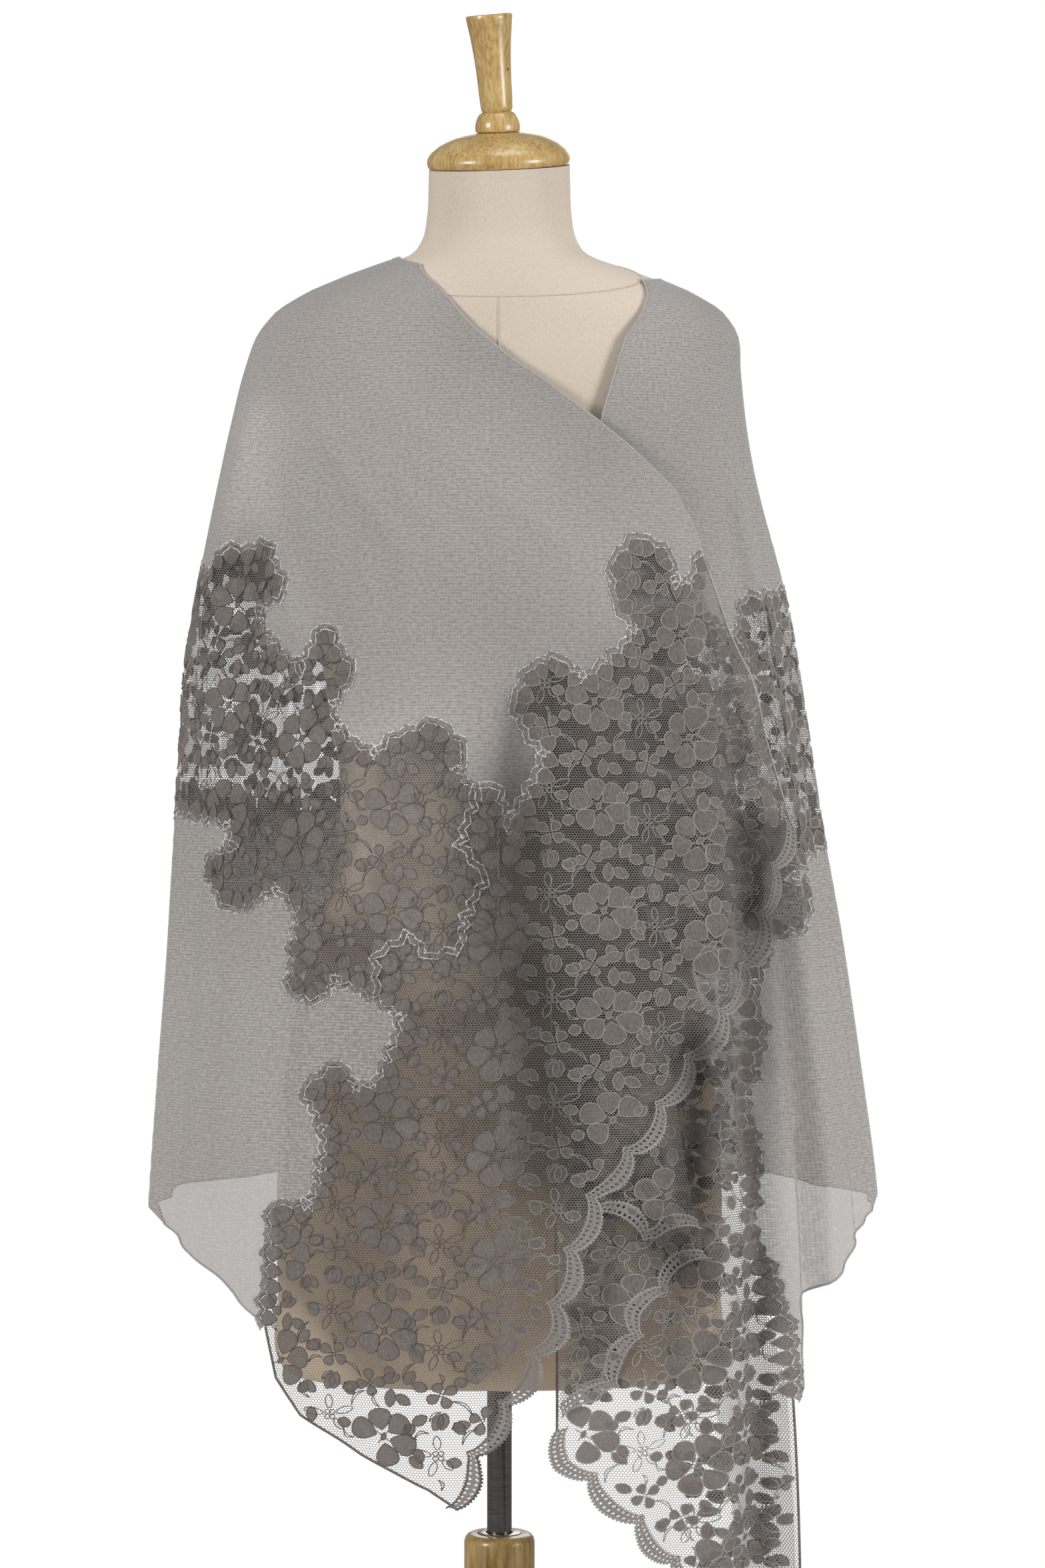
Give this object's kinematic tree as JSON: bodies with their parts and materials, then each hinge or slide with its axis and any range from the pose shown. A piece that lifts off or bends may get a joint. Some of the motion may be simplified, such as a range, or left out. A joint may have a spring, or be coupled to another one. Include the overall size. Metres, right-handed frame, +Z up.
{
  "type": "lace shawl on dress form",
  "caption": "Wide crepe shawl with let-in lace and scalloped ends, draped round a limbless dress form on a height-adjustable wooden stand.",
  "frame": {"origin": "on the floor, under the pole's axis, at the middle of the base", "axes": "+Z up, -Y to the front, where the shawl's two ends cross, +X to the viewer's right"},
  "size_m": [0.624, 0.624, 1.646],
  "materials": {
    "crepe": "grey-taupe wool and silk crepe",
    "lace": "corded lace on hexagonal net",
    "jersey": "stretched cream jersey",
    "wood": "lacquered",
    "pole_metal": "polished",
    "ring_metal": "brushed",
    "knob_plastic": "moulded"
  },
  "bodies": {
    "stand": {"hub": "wood", "hub_ring": "ring_metal", "leg_1": "wood", "leg_2": "wood", "leg_3": "wood", "leg_4": "wood"},
    "clamp": {"clamp_knob": "knob_plastic"},
    "mast": {"pole": "pole_metal"},
    "dressed_form": {"torso": "jersey", "neck_cap": "wood", "cap_ring": "wood", "handle": "wood", "over_front_cloth": "crepe", "back_cloth": "crepe", "under_front_cloth": "crepe", "lace_band_left": "lace", "lace_band_back": "lace", "lace_band_right": "lace", "hem_cloth_left": "crepe", "hem_cloth_back": "crepe", "hem_cloth_right": "crepe", "over_front_lace": "lace", "under_front_lace": "lace"}
  },
  "joints": [
    {"name": "height", "type": "slide", "parent": "stand", "child": "mast", "axis": [0, 0, 1], "range_m": [-0.08, 0.18]},
    {"name": "swivel", "type": "hinge", "parent": "mast", "child": "dressed_form", "pos_m": [0, 0, 0.552], "axis": [0, 0, 1], "continuous": true},
    {"name": "clamp_turn", "type": "hinge", "parent": "stand", "child": "clamp", "pos_m": [0, 0, 0.38], "axis": [-0.2419, -0.9703, 0], "continuous": true}
  ]
}
